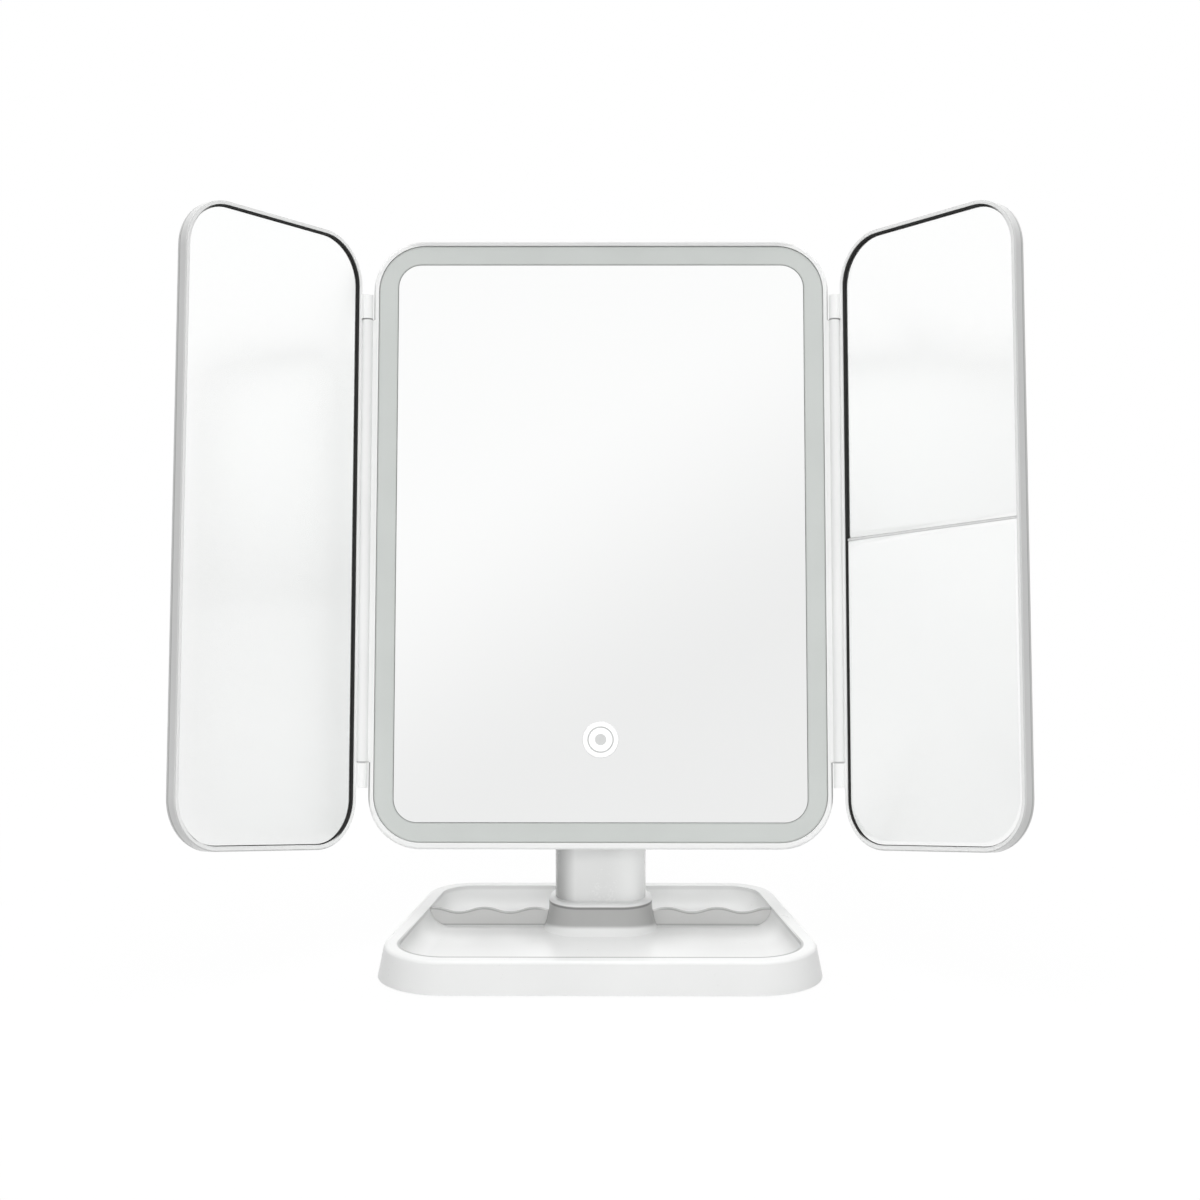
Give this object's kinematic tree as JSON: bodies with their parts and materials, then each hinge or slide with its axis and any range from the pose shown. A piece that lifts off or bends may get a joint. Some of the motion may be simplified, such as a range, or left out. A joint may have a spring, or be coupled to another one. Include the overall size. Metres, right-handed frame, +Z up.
{
  "type": "trifold vanity mirror",
  "caption": "Trifold vanity mirror with a lit border, touch key, swinging side wings with magnifying glass, tilting neck and cosmetics tray base.",
  "frame": {"origin": "middle of the face that rests on the table, under the anti-slip pad", "axes": "+Z up, the mirrors face -Y, +X to the right as seen from the front"},
  "size_m": [0.3172, 0.1332, 0.2964],
  "materials": {
    "white_plastic": "smooth white moulding",
    "bottom_plastic": "fine texture",
    "pad_rubber": "soft, matt",
    "zinc_steel": "zinc plated",
    "plate_steel": "rolled sheet",
    "spine_plastic": "glass-filled moulding",
    "frosted_plastic": "frosted, translucent",
    "mirror_glass": "silvered glass",
    "foam_tape": "closed-cell foam",
    "board_resin": "white solder mask",
    "led_resin": "clear resin over phosphor",
    "key_ink": "etched mark",
    "spring_steel": "bright wire",
    "component_black": "moulded epoxy",
    "lead_insulation": "smooth vinyl",
    "nickel_steel": "nickel plated",
    "tray_plastic": "smooth moulding",
    "cell_wrap": "printed sleeve, bare",
    "washer_plastic": "self-lubricating",
    "gasket_rubber": "matt black"
  },
  "bodies": {
    "base": {"base_shell": "white_plastic", "base_bottom_plate": "bottom_plastic", "base_ballast": "plate_steel", "anti_slip_pad": "pad_rubber", "base_screws": "zinc_steel"},
    "neck": {"neck_front_shell": "white_plastic", "neck_rear_shell": "white_plastic", "neck_spine": "spine_plastic", "neck_screws": "zinc_steel"},
    "head": {"head_frame": "white_plastic", "head_rear_shell": "white_plastic", "head_screws": "zinc_steel", "light_diffuser": "frosted_plastic", "centre_mirror": "mirror_glass", "mirror_tape": "foam_tape", "touch_key": "key_ink", "touch_spring": "spring_steel", "led_board": "board_resin", "led_chips": "led_resin", "control_board": "board_resin", "board_components": "component_black", "head_wiring": "lead_insulation", "usb_inlet": "nickel_steel", "usb_board": "board_resin", "battery_tray": "tray_plastic", "battery_contacts": "nickel_steel", "battery_cells": "cell_wrap", "tilt_bolt": "zinc_steel", "tilt_nut": "zinc_steel", "tilt_spring_washer": "spring_steel", "tilt_friction_washers": "washer_plastic", "ear_caps": "white_plastic"},
    "battery_door": {"battery_door": "white_plastic"},
    "left_wing": {"left_wing_frame": "white_plastic", "left_wing_back": "white_plastic", "left_wing_gasket": "gasket_rubber", "left_wing_mirror": "mirror_glass", "left_wing_tape": "foam_tape", "left_hinge_pins": "zinc_steel"},
    "right_wing": {"right_wing_frame": "white_plastic", "right_wing_back": "white_plastic", "right_wing_gasket": "gasket_rubber", "lower_magnifier": "mirror_glass", "upper_magnifier": "mirror_glass", "magnifier_bar": "gasket_rubber", "magnifier_pads": "foam_tape", "right_hinge_pins": "zinc_steel"}
  },
  "joints": [
    {"name": "neck_lift", "type": "slide", "parent": "base", "child": "neck", "axis": [0, 0, 1], "range_m": [0, 0.014]},
    {"name": "head_tilt", "type": "hinge", "parent": "neck", "child": "head", "pos_m": [0, 0.019, 0.0578], "axis": [-1, 0, 0], "range_deg": [-16.5, 75]},
    {"name": "left_wing_hinge", "type": "hinge", "parent": "head", "child": "left_wing", "pos_m": [-0.095, 0.02267, 0.16329], "axis": [0, 0.23, 0.9732], "range_deg": [-50, 130]},
    {"name": "right_wing_hinge", "type": "hinge", "parent": "head", "child": "right_wing", "pos_m": [0.095, 0.02267, 0.16329], "axis": [0, -0.23, -0.9732], "range_deg": [-50, 130]},
    {"name": "battery_door_slide", "type": "slide", "parent": "head", "child": "battery_door", "axis": [0, 0.9732, -0.23], "range_m": [0, 0.015]}
  ]
}
